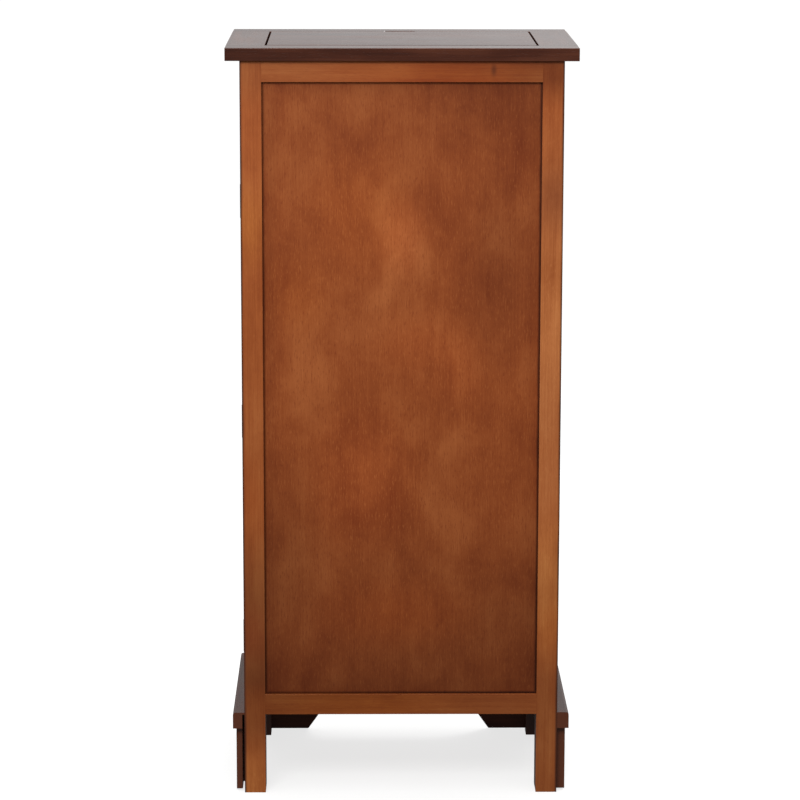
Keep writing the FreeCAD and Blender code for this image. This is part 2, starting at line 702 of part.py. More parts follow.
side_skirt = new_body("skirt_side")
corners, arcs = skirt_outline(front_face - skirt_out, rear_face - D["skirt_rear_gap"], D["side_foot"],
                              D["side_foot"])
skirt_sketch = sketch_on(side_skirt, "YZ_Plane", "skirt_side_outline", half_body)
pad(side_skirt, draw(skirt_sketch, corners, arcs), skirt_out, "skirt_side_pad")
mitre = sketch_on(side_skirt, "XY_Plane", "skirt_side_mitre", D["moulding_low"] + D["cut_over"])
beyond = skirt_out + D["cut_over"]
draw(mitre, [(half_body, front_face), (half_body, front_face - beyond),
             (half_body + beyond, front_face - beyond)])
pocket(side_skirt, mitre, skirt_height, "skirt_side_mitre_cut")
parts["side_skirts"] = group("side_skirts", [
    cut("skirt_right", side_skirt, [standing_off]), mirror("skirt_left", side_skirt)])


# ---------------------------------------------------------------- side doors

knuckle = D["knuckle_radius"]
knuckle_height = D["hinge_length"] / 3
door_inner = half_body - D["door_thick"]
panel_outer = half_body - D["door_panel_set"]
panel_inner = panel_outer - D["door_panel_thick"]
frame_front = door_front + D["door_stile"]
frame_rear = door_rear - D["door_stile"]
frame_low = door_low + D["door_bottom_rail"]
frame_high = door_high - D["door_top_rail"]
groove = D["door_groove"]


def door_frame(side, name):
    """Two stiles and two rails, grooved for the panel; the front stile has a finger pull."""
    x_span = on_side(side, door_inner, half_body)
    slot = box(f"{name}_slot", on_side(side, panel_inner, panel_outer),
               (frame_front - groove, frame_rear + groove), (frame_low - groove, frame_high + groove))
    pull_x = side * (half_body + D["pull_radius"] - D["pull_depth"])
    pull_low = (door_low + door_high - D["pull_height"]) / 2
    pull = cylinder(f"{name}_pull", (pull_x, door_front, pull_low), V(0, 0, 1), D["pull_radius"],
                    D["pull_height"])
    front_stile = box(f"{name}_front_stile_blank", x_span, (door_front, frame_front),
                      (door_low, door_high))
    rear_stile = box(f"{name}_rear_stile_blank", x_span, (frame_rear, door_rear), (door_low, door_high))
    boards = [cut(f"{name}_front_stile", front_stile, [slot, pull]),
              cut(f"{name}_rear_stile", rear_stile, [slot] + hinge_reliefs(side, name))]
    for rail, z_span in (("bottom", (door_low, frame_low)), ("top", (frame_high, door_high))):
        blank = box(f"{name}_{rail}_rail_blank", x_span, (frame_front, frame_rear), z_span)
        boards.append(cut(f"{name}_{rail}_rail", blank, [slot]))
    return group(name, boards)


def hinge_leaf(side, name, low, knuckle_lows, y_span):
    """A leaf with its knuckles; the post's leaf has two knuckles and the pin, the door's has one."""
    leaf_inner = half_body - D["hinge_leaf_width"]
    leaf_outer = half_body - knuckle - D["leaf_set"]
    plate = box(f"{name}_plate", on_side(side, leaf_inner, leaf_outer), y_span,
                (low, low + D["hinge_length"]))
    pieces = [plate]
    for number, knuckle_low in enumerate(knuckle_lows, start=1):
        pieces.append(box(f"{name}_tab_{number}", on_side(side, leaf_outer - D["tab_lap"], half_body), y_span,
                          (knuckle_low, knuckle_low + knuckle_height)))
        pieces.append(cylinder(f"{name}_knuckle_{number}", (side * half_body, hinge_y, knuckle_low),
                               V(0, 0, 1), knuckle, knuckle_height))
    return pieces


def post_leaf(side, name, low):
    front = hinge_y + D["leaf_play"]
    y_span = (front, front + D["hinge_leaf"])
    pieces = hinge_leaf(side, name, low, (low, low + 2 * knuckle_height), y_span)
    pieces.append(cylinder(f"{name}_pin", (side * half_body, hinge_y, low), V(0, 0, 1),
                           D["hinge_pin_radius"], D["hinge_length"]))
    return fuse(name, pieces)


def door_leaf(side, name, low):
    rear = hinge_y - D["leaf_play"]
    y_span = (rear - D["hinge_leaf"], rear)
    middle_low = low + knuckle_height
    pieces = hinge_leaf(side, name, low, (middle_low,), y_span)
    joined = fuse(f"{name}_blank", pieces)
    bore = cylinder(f"{name}_bore", (side * half_body, hinge_y, low), V(0, 0, 1),
                    D["hinge_pin_radius"] + D["pin_play"], D["hinge_length"])
    return cut(name, joined, [bore])


def hook(side, name, along):
    """A round hook: a shank from the strip and an upturned tip."""
    root = door_inner - D["strip_thick"]
    height = D["strip_low"] + D["strip_height"] / 2
    tip = root - D["hook_reach"]
    shank = cylinder(f"{name}_shank", (side * root, along, height), V(-side, 0, 0), D["hook_radius"],
                     D["hook_reach"])
    rise = cylinder(f"{name}_rise", (side * tip, along, height), V(0, 0, 1), D["hook_radius"],
                    D["hook_rise"])
    elbow = doc.addObject("Part::Sphere", f"{name}_elbow")
    bind(elbow, "Radius", D["hook_radius"])
    place(elbow, (side * tip, along, height))
    return fuse(name, [shank, rise, elbow])


HOOKS = 6
post_leaves = []
magnets = []
for word, side in sides.items():
    name = f"door_{word}"
    parts[f"{name}_frame"] = door_frame(side, f"{name}_frame")
    reach = groove - D["panel_play"]
    parts[f"{name}_panel"] = named(
        box(f"{name}_panel", on_side(side, panel_inner, panel_outer),
            (frame_front - reach, frame_rear + reach), (frame_low - reach, frame_high + reach)),
        f"{name}_panel")
    parts[f"{name}_hinge_leaves"] = group(f"{name}_hinge_leaves", [
        door_leaf(side, f"{name}_leaf_{number}", low) for number, low in enumerate(hinge_lows, start=1)])
    post_leaves += [post_leaf(side, f"post_leaf_{word}_{number}", low)
                    for number, low in enumerate(hinge_lows, start=1)]

    strip_middle = (door_front + door_rear) / 2
    strip_x = on_side(side, door_inner - D["strip_thick"], door_inner)
    strip = box(f"{name}_hook_strip", strip_x,
                (strip_middle - D["strip_length"] / 2, strip_middle + D["strip_length"] / 2),
                (D["strip_low"], D["strip_low"] + D["strip_height"]))
    hooks = [hook(side, f"{name}_hook_{number + 1}",
                  strip_middle + D["strip_length"] * ((number + 0.5) / HOOKS - 0.5))
             for number in range(HOOKS)]
    parts[f"{name}_hooks"] = group(f"{name}_hooks", [strip] + hooks)

    magnets.append(box(f"magnet_{word}",
                       on_side(side, door_inner - D["board_thick"], door_inner - D["magnet_gap"]),
                       (front_post_rear, front_post_rear + D["magnet_depth"]),
                       (D["magnet_low"], D["magnet_low"] + D["magnet_size"])))
parts["post_hinge_leaves"] = group("post_hinge_leaves", post_leaves)
parts["door_magnets"] = group("door_magnets", magnets)


# ---------------------------------------------------------------- check and write

doc.recompute()
for item in doc.Objects:
    if "Invalid" in item.State or "Error" in item.State:
        raise RuntimeError(f"{item.Name} is {item.State}")
for node, piece in parts.items():
    if piece.Label != node:
        raise RuntimeError(f"{node} is labelled {piece.Label}")
    if piece.Shape.isNull() or not piece.Shape.isValid():
        raise RuntimeError(f"{node} has no valid shape")
for node, piece in parts.items():
    piece.Shape.exportStep(f"parts/{node}.step")
print(len(parts), "sub-parts written")
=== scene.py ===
"""Looks of the jewelry armoire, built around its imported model. Metres, +Z up, the drawers face -Y."""

import json
import math

import bmesh
import bpy
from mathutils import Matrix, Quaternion, Vector


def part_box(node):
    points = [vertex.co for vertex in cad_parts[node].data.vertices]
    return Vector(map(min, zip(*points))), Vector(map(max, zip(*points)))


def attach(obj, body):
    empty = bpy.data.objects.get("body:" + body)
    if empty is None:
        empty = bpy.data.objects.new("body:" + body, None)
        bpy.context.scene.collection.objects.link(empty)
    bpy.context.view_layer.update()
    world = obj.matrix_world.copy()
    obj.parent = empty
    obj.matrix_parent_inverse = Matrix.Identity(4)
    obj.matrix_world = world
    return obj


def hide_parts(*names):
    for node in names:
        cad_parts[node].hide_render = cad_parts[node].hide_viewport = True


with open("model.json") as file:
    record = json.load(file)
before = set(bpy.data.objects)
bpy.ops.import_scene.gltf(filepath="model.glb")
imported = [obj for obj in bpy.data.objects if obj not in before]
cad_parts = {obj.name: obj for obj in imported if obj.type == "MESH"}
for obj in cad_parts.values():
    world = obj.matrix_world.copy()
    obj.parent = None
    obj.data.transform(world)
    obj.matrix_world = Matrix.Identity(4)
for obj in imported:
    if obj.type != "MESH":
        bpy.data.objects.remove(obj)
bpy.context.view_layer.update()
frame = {"nodes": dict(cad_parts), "record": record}

MM = 0.001
MICRONS = 1e6            # in a metre
SLOTS = {part["node"]: part["material_slot"] for part in frame["record"]["subparts"]}
BODIES = {node: body for body, nodes in frame["record"]["behaviour"]["bodies"].items() for node in nodes}


# ---------------------------------------------------------------- node trees

class Nodes:
    """A node tree, emptied, with short ways to add nodes and join them."""

    def __init__(self, tree):
        self.tree = tree
        tree.nodes.clear()

    def add(self, kind, **settings):
        node = self.tree.nodes.new(kind)
        for name, value in settings.items():
            setattr(node, name, value)
        return node

    def feed(self, socket, value):
        """A number or colour is set on the socket, and anything else is linked to it."""
        if isinstance(value, bpy.types.NodeSocket):
            self.tree.links.new(value, socket)
        else:
            socket.default_value = value

    def math(self, operation, first, second=0.0):
        node = self.add("ShaderNodeMath", operation=operation)
        self.feed(node.inputs[0], first)
        self.feed(node.inputs[1], second)
        return node.outputs[0]

    def vector(self, operation, first, second):
        node = self.add("ShaderNodeVectorMath", operation=operation)
        self.feed(node.inputs[0], first)
        self.feed(node.inputs[1], second)
        return node.outputs[0]

    def place(self):
        """The point in the row frame, in metres: every piece's object sits at the origin."""
        return self.add("ShaderNodeTexCoord").outputs["Object"]

    def split(self, vector):
        node = self.add("ShaderNodeSeparateXYZ")
        self.feed(node.inputs[0], vector)
        return node.outputs

    def swing(self, middle, *parts):
        """A middle value moved by each (value, weight) part as the value leaves one half."""
        for value, weight in parts:
            change = self.math("MULTIPLY", self.math("SUBTRACT", value, 0.5), weight)
            middle = self.math("ADD", middle, change)
        return middle

    def noise(self, place, scale, detail=2.0, roughness=0.5, distortion=0.0):
        node = self.add("ShaderNodeTexNoise")
        self.feed(node.inputs["Vector"], self.vector("MULTIPLY", place, scale))
        node.inputs["Scale"].default_value = 1.0
        node.inputs["Detail"].default_value = detail
        node.inputs["Roughness"].default_value = roughness
        node.inputs["Distortion"].default_value = distortion
        return node.outputs[0]

    def ramp(self, value, stops):
        """A colour ramp: stops are (position, colour) pairs."""
        node = self.add("ShaderNodeValToRGB")
        self.feed(node.inputs[0], value)
        elements = node.color_ramp.elements
        while len(elements) < len(stops):
            elements.new(0.5)
        for element, (position, colour) in zip(elements, stops):
            element.position = position
            element.color = (*colour, 1.0)
        return node.outputs[0]

    def mix(self, share, first, second, blend="MIX"):
        node = self.add("ShaderNodeMix", data_type="RGBA", blend_type=blend)
        self.feed(node.inputs[0], share)
        for socket, value in ((node.inputs[6], first), (node.inputs[7], second)):
            self.feed(socket, (*value, 1.0) if isinstance(value, tuple) else value)
        return node.outputs[2]

    def span(self, value, low, high, start=0.0, end=1.0):
        """The start below low, the end above high and a smooth change between."""
        node = self.add("ShaderNodeMapRange", interpolation_type="SMOOTHSTEP")
        for socket, number in zip(node.inputs, (value, low, high, start, end)):
            self.feed(socket, number)
        return node.outputs[0]


class Shader(Nodes):
    """A material with one principled surface."""

    def __init__(self, name):
        self.material = bpy.data.materials.new(name)
        self.material.use_nodes = True
        super().__init__(self.material.node_tree)
        self.surface = self.add("ShaderNodeBsdfPrincipled")
        self.feed(self.add("ShaderNodeOutputMaterial").inputs["Surface"], self.surface.outputs[0])

    def bump(self, height, strength, distance):
        node = self.add("ShaderNodeBump")
        node.inputs["Strength"].default_value = strength
        node.inputs["Distance"].default_value = distance
        self.feed(node.inputs["Height"], height)
        self.feed(self.surface.inputs["Normal"], node.outputs[0])

    def set(self, **inputs):
        for name, value in inputs.items():
            self.feed(self.surface.inputs[name.replace("_", " ")], value)


def srgb(red, green, blue):
    """The linear colour of 0 to 255 display values."""
    def linear(value):
        value /= 255.0
        return value / 12.92 if value <= 0.04045 else ((value + 0.055) / 1.055) ** 2.4
    return (linear(red), linear(green), linear(blue))


# ---------------------------------------------------------------- wood

def grain_place(shader, axis):
    """Coordinates whose x runs along the grain, moved by a different amount on each piece."""
    split = shader.split(shader.place())
    join = shader.add("ShaderNodeCombineXYZ")
    for number, source in enumerate({"x": (0, 1, 2), "y": (1, 2, 0), "z": (2, 0, 1)}[axis]):
        shader.feed(join.inputs[number], split[source])
    chance = shader.add("ShaderNodeObjectInfo").outputs["Random"]
    return shader.vector("ADD", join.outputs[0], shader.vector("MULTIPLY", chance, (5.1, 3.7, 7.3)))


def dark_wrap(shader, colour, tone):
    """The espresso stain on the rear posts: round their outer corners, and on all but their back."""
    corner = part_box("rear_post_right")[1]
    place = shader.place()
    across, depth, _ = shader.split(place)
    waver = shader.math("MULTIPLY", shader.noise(place, (30.0, 30.0, 9.0), 2.0), 2.5 * MM)
    across = shader.math("ADD", shader.math("ABSOLUTE", across), waver)
    outside = shader.span(across, corner.x - 2.5 * MM, corner.x + 1.2 * MM)
    inside = shader.span(depth, corner.y - 8.0 * MM, corner.y - 14.0 * MM)
    share = shader.math("MAXIMUM", outside, inside)
    return shader.mix(share, colour, shader.ramp(tone, WOODS["espresso_wood"]["stops"]))


def patch(shader, centre, reach):
    """1 at a point of the back and 0 beyond its reach: both are (x, z) in metres."""
    away = shader.vector("SUBTRACT", shader.place(), (centre[0], 0.0, centre[1]))
    away = shader.vector("MULTIPLY", away, (1.0 / reach[0], 0.0, 1.0 / reach[1]))
    length = shader.add("ShaderNodeVectorMath", operation="LENGTH")
    shader.feed(length.inputs[0], away)
    return shader.span(length.outputs["Value"], 1.0, 0.0)


def clouded(shader, shade, patches):
    """A shade with soft patches on it: each has a centre and a reach of (x, z) in metres, and a gain."""
    for centre, reach, gain in patches:
        spot = shader.mix(patch(shader, centre, reach), (1.0, 1.0, 1.0), gain)
        shade = shader.mix(1.0, shade, spot, "MULTIPLY")
    return shade


def rear_painted_shading(shader, left_stops, right_stops):
    """Painted light and shade on the back: how much of its colour the back keeps up its height, on its left
    and right seen from behind.

    The stops are (share of the height, gain) pairs. A ramp holds colours up to 1, so gains are
    stored as shares of the most that any gain may be.
    """
    most = 1.5
    across, _, up = shader.split(shader.place())
    level = shader.math("MULTIPLY", up, 1.0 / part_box("top_rear_board")[1].z)
    level = shader.swing(level, (shader.noise(shader.place(), (3.0, 3.0, 3.0), 2.0), 0.1))
    left, right = [shader.ramp(level, [(position, (gain / most,) * 3) for position, gain in stops])
                   for stops in (left_stops, right_stops)]
    shade = shader.mix(shader.span(across, 0.12, -0.2), left, right)
    return shader.mix(1.0, shade, (most, most, most), "MULTIPLY")


# Soft patches where the frame of the back is paler or darker, as clouded() takes them: partly stain wiped
# pale or left dark, partly painted light and shade, such as the paler right stile and the paler feet of the
# legs.
FRAME_STAIN_AND_LIGHT_PATCHES = (
    ((-0.205, 0.60), (0.14, 0.50), (1.03, 1.24, 1.55)),
    ((-0.205, 0.66), (0.06, 0.16), (1.12, 1.2, 1.2)),
    ((-0.205, 0.30), (0.06, 0.12), (1.2, 1.4, 1.35)),
    ((-0.205, 0.82), (0.06, 0.07), (0.72, 0.68, 0.72)),
    ((-0.205, 0.22), (0.05, 0.07), (1.22, 1.25, 1.15)),
    ((-0.205, 0.03), (0.05, 0.08), (1.15, 1.22, 1.3)),
    ((0.205, 0.78), (0.05, 0.08), (1.18, 1.34, 1.2)),
    ((0.205, 0.40), (0.05, 0.10), (1.14, 1.06, 0.95)),
    ((0.205, 0.22), (0.05, 0.06), (1.2, 1.06, 1.1)),
    ((0.205, 0.14), (0.05, 0.06), (0.95, 0.85, 0.8)),
    ((0.205, 0.01), (0.05, 0.07), (1.3, 1.6, 1.7)),
    ((0.06, 0.125), (0.2, 0.05), (1.3, 1.22, 0.8)),
    ((-0.07, 0.985), (0.24, 0.06), (1.0, 0.76, 0.5)),
    ((-0.03, 0.972), (0.10, 0.008), (0.92, 0.8, 0.7)),
)

# The panel's clouds: pale where the stain was wiped, and painted shade that darkens it near its corners.
PANEL_STAIN_AND_SHADE_PATCHES = (
    ((-0.025, 0.625), (0.09, 0.06), (1.16, 1.18, 1.2)),
    ((0.06, 0.80), (0.09, 0.13), (1.18, 1.2, 1.12)),
    ((0.14, 0.69), (0.07, 0.08), (1.16, 1.22, 1.15)),
    ((0.05, 0.44), (0.10, 0.13), (1.3, 1.32, 1.34)),
    ((-0.08, 0.59), (0.05, 0.07), (1.12, 1.12, 1.12)),
    ((0.0, 0.25), (0.14, 0.07), (1.22, 1.2, 1.12)),
    ((-0.13, 0.72), (0.08, 0.20), (0.84, 0.84, 0.87)),
    ((-0.14, 0.95), (0.16, 0.10), (0.86, 0.84, 0.82)),
    ((0.16, 0.32), (0.08, 0.20), (0.84, 0.84, 0.84)),
)


def panel_stain_and_painted_shade(shader):
    """The back panel's clouds, painted shade towards its rim, and a dark line along its rim that is partly
    pooled stain and partly painted shade in its recess, greener on its left.
    """
    low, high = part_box("rear_rails")
    rail = 28.0 * MM     # the height of each rear rail
    across, _, up = shader.split(shader.place())
    glow = patch(shader, (0.0, 0.765), (0.05, 0.075))
    shade = shader.mix(glow, (1.05, 1.05, 1.05), (1.38, 1.46, 1.58))
    shade = clouded(shader, shade, PANEL_STAIN_AND_SHADE_PATCHES)
    side = shader.math("SUBTRACT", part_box("rear_post_right")[0].x, shader.math("ABSOLUTE", across))
    foot = shader.math("SUBTRACT", up, low.z + rail)
    head = shader.math("SUBTRACT", high.z - rail + 2.2 * MM, up)
    rim = shader.math("MINIMUM", side, shader.math("MINIMUM", foot, head))
    # painted shade: the panel darkens over its last 30 mm towards the rim, where the recess shades it
    rim_painted_shade = shader.mix(1.0, shade, (0.88, 0.86, 0.84), "MULTIPLY")
    shade = shader.mix(shader.span(rim, 30.0 * MM, 0.0), shade, rim_painted_shade)
    waver = shader.math("MULTIPLY", shader.noise(shader.place(), (25.0, 25.0, 25.0), 2.0), 2.0 * MM)
    # the dark line at the rim: partly pooled stain, partly painted shade in the recess
    rim_stain_and_shade = shader.mix(shader.span(across, 0.14, -0.14), (0.40, 0.33, 0.16), (0.20, 0.16, 0.14))
    return shader.mix(shader.span(shader.math("ADD", rim, waver), 5.6 * MM, 1.8 * MM), shade, rim_stain_and_shade)


# How far along its colours the espresso stain moves on a face, a matt face, a worn edge and bare end grain.
# The lighter edge is partly wear and partly a painted highlight.
TONE_SHIFTS = {"face": 0.0, "matt": -0.05, "worn_and_highlit": 0.14, "end": 0.42}

# Each wood: the colours of its figure, how strongly each pattern shows and its finish, and for the back the
# painted light and shade up its height on its left and right.
WOODS = {
    "espresso_wood": {
        "stops": [(0.25, srgb(50, 23, 15)), (0.5, srgb(75, 37, 24)), (0.8, srgb(102, 56, 37))],
        "figure": 1.0, "cloud": 0.35, "fibre": 0.35, "fleck": 0.12,
        "roughness": 0.26, "coat": 0.12, "specular": 0.3, "bump": 0.07},
    "back_frame_wood": {
        "stops": [(0.25, srgb(140, 64, 24)), (0.5, srgb(171, 91, 43)), (0.8, srgb(198, 120, 64))],
        "left": [(0.0, 1.02), (0.04, 0.98), (0.09, 0.66), (0.15, 0.46), (0.22, 0.52), (0.33, 0.78),
                 (0.5, 1.0), (0.7, 1.1), (0.92, 1.12), (0.96, 0.9), (1.0, 0.86)],
        "right": [(0.0, 0.74), (0.07, 0.75), (0.15, 0.74), (0.22, 0.9), (0.33, 1.2), (0.5, 1.24),
                  (0.62, 1.32), (0.8, 1.2), (0.92, 1.2), (0.96, 0.66), (1.0, 0.64)],
        "figure": 0.45, "cloud": 0.5, "fibre": 0.3, "fleck": 0.2,
        "roughness": 0.5, "coat": 0.0, "specular": 0.25, "bump": 0.2},
    "back_panel_wood": {
        "stops": [(0.25, srgb(124, 52, 20)), (0.5, srgb(154, 77, 35)), (0.8, srgb(184, 105, 55))],
        "left": [(0.0, 0.6), (0.15, 0.6), (0.24, 0.76), (0.38, 0.92), (0.55, 1.0), (0.8, 1.0),
                 (1.0, 0.88)],
        "right": [(0.0, 0.6), (0.15, 0.62), (0.24, 0.68), (0.38, 0.93), (0.55, 1.03), (0.8, 0.98),
                  (1.0, 0.84)],
        "figure": 0.15, "cloud": 0.8, "fibre": 0.22, "fleck": 0.4,
        "roughness": 0.55, "coat": 0.0, "specular": 0.2, "bump": 0.25},
    "inner_wood": {
        "stops": [(0.25, srgb(120, 66, 38)), (0.5, srgb(158, 98, 62)), (0.8, srgb(190, 130, 88))],
        "figure": 0.9, "cloud": 0.4, "fibre": 0.4, "fleck": 0.3,
        "roughness": 0.55, "coat": 0.0, "specular": 0.3, "bump": 0.3},
}
made_woods = {}


def wood(slot, axis, finish="face"):
    """The slot's wood with its grain along an axis, made once for each finish in TONE_SHIFTS."""
    name = f"{slot}_{axis}_{finish}"
    if name in made_woods:
        return made_woods[name]
    look = WOODS[slot]
    darkest = look["stops"][0][1]
    palest = look["stops"][-1][1]
    shader = Shader(name)
    place = grain_place(shader, axis)
    sway = shader.noise(place, (4.0, 9.0, 9.0), 2.0)
    swayed = shader.vector("ADD", place, shader.vector("MULTIPLY", sway, (0.0, 0.03, 0.03)))
    figure = shader.noise(swayed, (2.2, 42.0, 42.0), 4.0, 0.6)
    fibre = shader.noise(place, (9.0, 420.0, 420.0), 3.0, 0.6)
    cloud = shader.noise(place, (9.0, 13.0, 13.0), 4.0, 0.6, 0.3)
    tone = shader.swing(0.5, (figure, look["figure"]), (cloud, look["cloud"]), (fibre, look["fibre"]))
    if slot == "espresso_wood":
        tone = shader.math("ADD", tone, TONE_SHIFTS[finish])
    colour = shader.ramp(tone, look["stops"])
    fleck = shader.noise(place, (130.0, 720.0, 720.0), 1.0)
    pores = shader.span(fleck, 0.60, 0.70)
    rays = shader.span(fleck, 0.40, 0.30)
    colour = shader.mix(shader.math("MULTIPLY", pores, look["fleck"]), colour, darkest)
    colour = shader.mix(shader.math("MULTIPLY", rays, look["fleck"] * 0.8), colour, palest)
    if slot == "back_panel_wood":
        # the panel's clouds and its painted shade towards its rim and corners
        colour = shader.mix(1.0, colour, panel_stain_and_painted_shade(shader), "MULTIPLY")
    # painted light and shade up the back's height, on its left and right
    if "left" in look:
        shade = rear_painted_shading(shader, look["left"], look["right"])
        colour = shader.mix(1.0, colour, shade, "MULTIPLY")
    if slot == "back_frame_wood":
        # patches of stain and of painted light and shade on the frame
        colour = clouded(shader, colour, FRAME_STAIN_AND_LIGHT_PATCHES)
        knot = shader.math("MULTIPLY", patch(shader, (-0.12, 0.987), (0.006, 0.013)), 0.6)
        colour = dark_wrap(shader, shader.mix(knot, colour, srgb(70, 30, 16)), tone)
    shader.set(Base_Color=colour,
               Roughness=shader.swing(look["roughness"], (cloud, 0.12), (pores, 0.1)))
    polish = 0.35 if finish == "matt" else 1.0
    shader.set(Specular_IOR_Level=look["specular"] * polish, Coat_Weight=look["coat"] * polish,
               Coat_Roughness=0.15)
    height = shader.math("SUBTRACT", fibre, shader.math("MULTIPLY", pores, 0.6))
    shader.bump(height, look["bump"], 0.25 * MM)
    made_woods[name] = shader.material
    return shader.material


# ---------------------------------------------------------------- metal, velvet, mirror

def bronze():
    shader = Shader("antique_bronze")
    place = shader.place()
    cloud = shader.noise(place, (90.0, 90.0, 90.0), 4.0, 0.6)
    speck = shader.noise(place, (900.0, 900.0, 900.0), 2.0)
    colour = shader.ramp(cloud, [(0.3, srgb(58, 42, 30)), (0.55, srgb(112, 82, 50)),
                                 (0.75, srgb(160, 124, 76))])
    shader.set(Base_Color=colour, Metallic=1.0,
               Roughness=shader.math("ADD", 0.28, shader.math("MULTIPLY", cloud, 0.2)))
    shader.bump(speck, 0.08, 0.1 * MM)
    return shader.material


def nickel():
    shader = Shader("brushed_nickel")
    brush = shader.noise(shader.place(), (1200.0, 1200.0, 60.0), 3.0)
    colour = shader.ramp(brush, [(0.3, srgb(150, 148, 144)), (0.7, srgb(205, 203, 198))])
    shader.set(Base_Color=colour, Metallic=1.0,
               Roughness=shader.math("ADD", 0.25, shader.math("MULTIPLY", brush, 0.15)))
    shader.bump(brush, 0.1, 0.05 * MM)
    return shader.material


def velvet():
    shader = Shader("brown_velvet")
    place = shader.place()
    nap = shader.noise(place, (28.0, 28.0, 28.0), 3.0, 0.6)
    pile = shader.noise(place, (1600.0, 1600.0, 1600.0), 2.0)
    tone = shader.math("ADD", shader.math("MULTIPLY", nap, 0.7), shader.math("MULTIPLY", pile, 0.3))
    colour = shader.ramp(tone, [(0.3, srgb(38, 24, 20)), (0.5, srgb(58, 38, 32)), (0.7, srgb(80, 56, 46))])
    shader.set(Base_Color=colour, Roughness=0.9, Sheen_Weight=0.7, Sheen_Roughness=0.4,
               Sheen_Tint=(*srgb(190, 160, 140), 1.0), Specular_IOR_Level=0.1)
    shader.bump(pile, 0.4, 0.3 * MM)
    return shader.material


def mirror_glass():
    shader = Shader("mirror_glass")
    haze = shader.noise(shader.place(), (14.0, 14.0, 14.0), 3.0)
    colour = shader.ramp(haze, [(0.3, srgb(226, 230, 230)), (0.7, srgb(236, 239, 238))])
    shader.set(Base_Color=colour, Metallic=1.0, Roughness=shader.math("MULTIPLY", haze, 0.04))
    return shader.material


BRONZE = bronze()
NICKEL = nickel()
VELVET = velvet()
MIRROR = mirror_glass()


# ---------------------------------------------------------------- pieces

def extent(points):
    """The low and high corners of the box round some points."""
    points = list(points)
    return [Vector([pick(point[i] for point in points) for i in range(3)]) for pick in (min, max)]


def corners_of(mesh, polygon, steps):
    """A face's corners in whole steps, so many to the metre, so that faces that meet share them."""
    return [tuple(round(value * steps) for value in mesh.vertices[index].co) for index in polygon.vertices]


def solids_of(node):
    """The node's solids as lists of faces, in microns; a solid ends where all of its edges have closed."""
    mesh = frame["nodes"][node].data
    solids = []
    faces = []
    open_edges = set()
    for polygon in mesh.polygons:
        corners = corners_of(mesh, polygon, MICRONS)
        faces.append(corners)
        for start, end in zip(corners, corners[1:] + corners[:1]):
            open_edges ^= {frozenset((start, end))}
        if not open_edges:
            solids.append(faces)
            faces = []
    if faces:
        raise ValueError(f"{node} has a solid that does not close")
    return solids


def welded(faces):
    """A bmesh of one solid, with its flat faces joined back from their triangles."""
    shape = bmesh.new()
    corners = {}
    for face in faces:
        for corner in face:
            if corner not in corners:
                corners[corner] = shape.verts.new([value / MICRONS for value in corner])
        if len(set(face)) == 3:
            shape.faces.new([corners[corner] for corner in face])
    bmesh.ops.dissolve_limit(shape, angle_limit=math.radians(0.3), verts=shape.verts, edges=shape.edges)
    return shape


def in_scene(name, data):
    """A new object in the scene."""
    made = bpy.data.objects.new(name, data)
    bpy.context.scene.collection.objects.link(made)
    return made


def mesh_object(name, shape, materials):
    """A new object in the scene from a bmesh, which is freed."""
    mesh = bpy.data.meshes.new(name)
    shape.to_mesh(mesh)
    shape.free()
    for material in materials:
        mesh.materials.append(material)
    return in_scene(name, mesh)


def piece(name, shape, node, materials):
    """A smooth mesh object that rides on a CAD node's body and stands for that node."""
    made = mesh_object(name, shape, materials)
    for polygon in made.data.polygons:
        polygon.use_smooth = True
    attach(made, BODIES[node])
    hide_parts(node)
    return made


def ease(made, width, segments=3):
    """Rounded edges, in the piece's second material where it has one: the lighter edge, partly wear and
    partly a painted highlight.
    """
    bevel = made.modifiers.new("eased_edges", "BEVEL")
    bevel.width = width
    bevel.segments = segments
    bevel.limit_method = "ANGLE"
    bevel.angle_limit = math.radians(35)
    bevel.harden_normals = True
    if len(made.data.materials) > 1:
        bevel.material = 1
    return made


def long_axis(shape):
    low, high = extent(vertex.co for vertex in shape.verts)
    sizes = [high[i] - low[i] for i in range(3)]
    return "xyz"[sizes.index(max(sizes))]


BARE_ENDS = ("side_mouldings", "side_skirts")                # end grain shows at the back
MATT_BASE = BARE_ENDS + ("moulding_front", "skirt_front")    # the base shines less than the rest


def boards(node, width=0.8 * MM):
    """Every board of a wooden node as its own piece, its grain along its longest side."""
    solids = solids_of(node)
    for number, faces in enumerate(solids, start=1):
        shape = welded(faces)
        shape.normal_update()
        axis = long_axis(shape)
        name = f"{node}_board" if len(solids) == 1 else f"{node}_board_{number}"
        outside = "matt" if node in MATT_BASE else "face"
        materials = [wood(SLOTS[node], axis, finish) for finish in (outside, "worn_and_highlit", "end")]
        for face in shape.faces:
            if node in BARE_ENDS and face.normal.y > 0.9:
                face.material_index = 2
        ease(piece(name, shape, node, materials), width)


def block(low, high):
    """A bmesh box between two corners."""
    shape = bmesh.new()
    bmesh.ops.create_cube(shape, size=1.0)
    for vertex in shape.verts:
        vertex.co = Vector([low[i] + (vertex.co[i] + 0.5) * (high[i] - low[i]) for i in range(3)])
    return shape


def routed_front(node):
    """A board with a groove routed round its front face."""
    low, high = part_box(node)
    shape = block(low, high)
    shape.normal_update()
    field = min(shape.faces, key=lambda face: face.normal.y)
    for inset, sink in ((11 * MM, 0), (1.0 * MM, 2.2 * MM), (2.0 * MM, 0), (1.6 * MM, -2.2 * MM)):
        bmesh.ops.inset_region(shape, faces=[field], thickness=inset)
        for vertex in field.verts:
            vertex.co.y += sink
    materials = [wood(SLOTS[node], "x"), wood(SLOTS[node], "x", "worn_and_highlit")]
    ease(piece(f"{node}_board", shape, node, materials), 0.7 * MM, 2)


